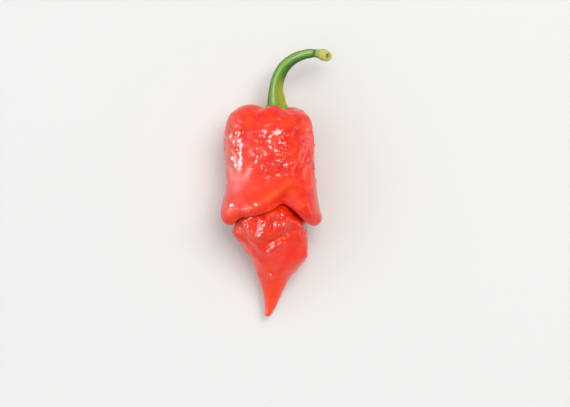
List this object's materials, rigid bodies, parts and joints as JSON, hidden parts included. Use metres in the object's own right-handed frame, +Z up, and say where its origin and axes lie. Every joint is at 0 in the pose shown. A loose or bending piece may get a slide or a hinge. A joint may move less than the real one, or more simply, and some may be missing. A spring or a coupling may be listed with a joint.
{
  "type": "chilli pepper",
  "caption": "Ripe red chilli of the wrinkled, hooded kind, lying on its side: lobed shoulders, a hood flaring over a lumpy tapering tail, and a green stem that curves away.",
  "frame": {"origin": "bottom centre of the object's box, on the surface that the pod lies on", "axes": "+Z up from the surface, +Y along the pod towards its stem, +X to the side that the stem curves to"},
  "size_m": [0.032, 0.0774, 0.0259],
  "materials": {
    "pod_skin": "glossy waxy skin with fine bumps",
    "stem_skin": "soft satin green with pale streaks, yellower at the base and at the free end"
  },
  "bodies": {
    "root": {"pod": "pod_skin", "stem": "stem_skin"}
  },
  "joints": []
}
